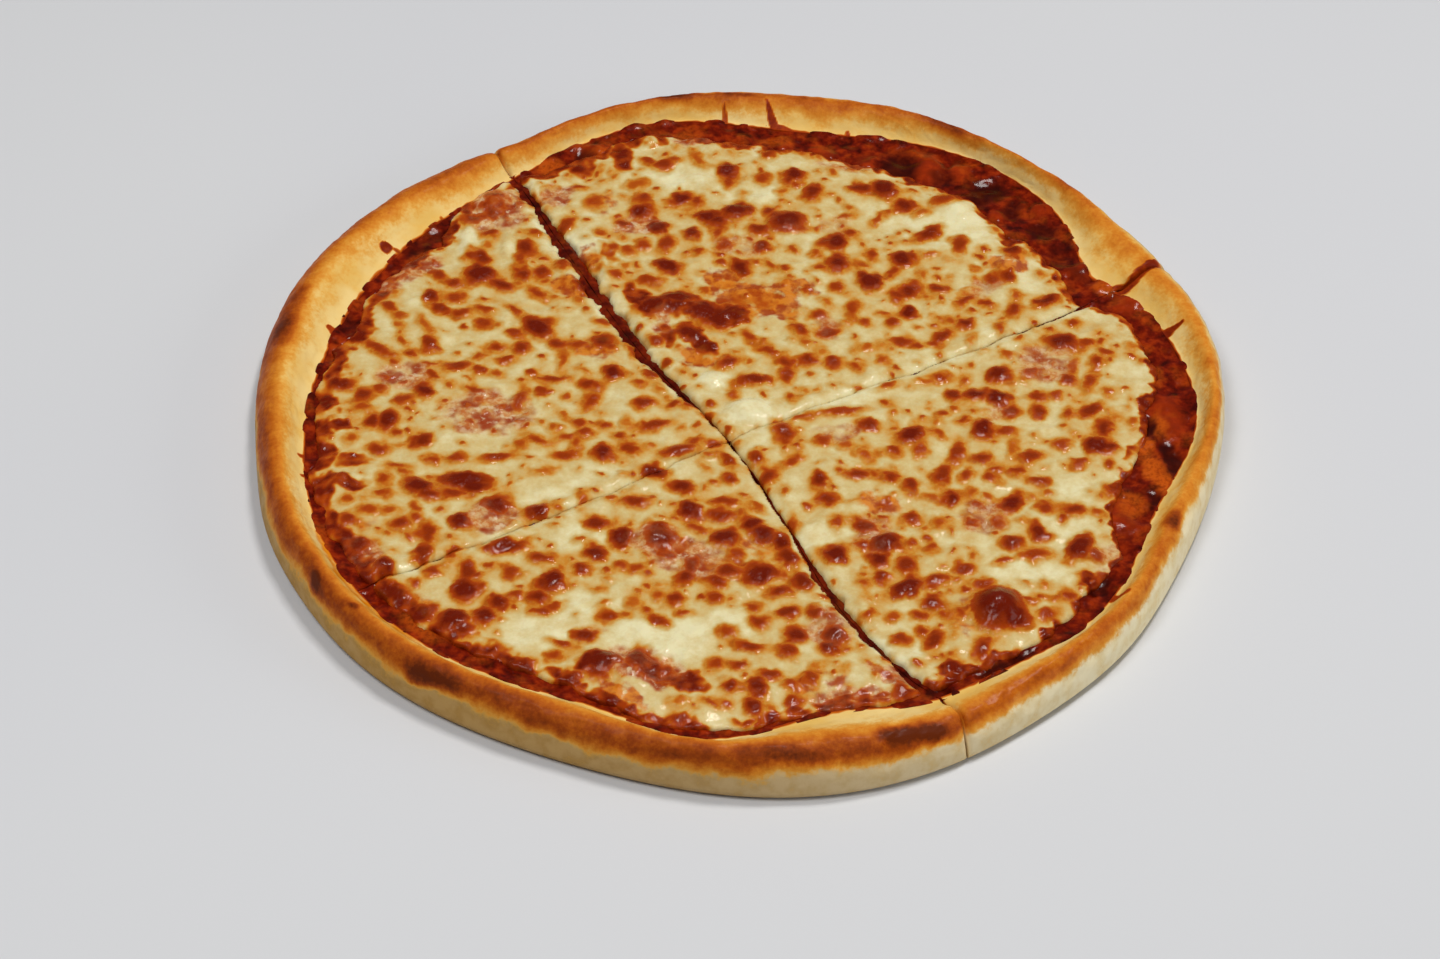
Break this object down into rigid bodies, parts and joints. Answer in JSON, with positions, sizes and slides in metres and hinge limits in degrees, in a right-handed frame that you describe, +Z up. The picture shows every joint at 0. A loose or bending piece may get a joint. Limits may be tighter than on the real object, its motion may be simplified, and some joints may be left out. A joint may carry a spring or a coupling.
{
  "type": "margherita pizza",
  "caption": "Thin round margherita pizza with a browned rim, tomato sauce and blistered cheese, cut into quarters that still lie together.",
  "frame": {"origin": "centre of the bounding box on the underside, where the pizza rests", "axes": "+Z up through the thickness, +Y away from the picture's viewer, +X to the viewer's right"},
  "size_m": [0.276, 0.2875, 0.0152],
  "materials": {
    "crust": "dry baked dough, golden with brown bands",
    "sauce": "baked tomato sauce, dark red and moist",
    "cheese": "melted cheese, cream with rust-brown blisters, oily sheen"
  },
  "bodies": {
    "root": {"crust_left_front": "crust", "crust_back": "crust", "crust_right": "crust", "sauce_left": "sauce", "sauce_front": "sauce", "sauce_right": "sauce", "sauce_back": "sauce", "cheese_left": "cheese", "cheese_front": "cheese", "cheese_right": "cheese", "cheese_back": "cheese"}
  },
  "joints": []
}
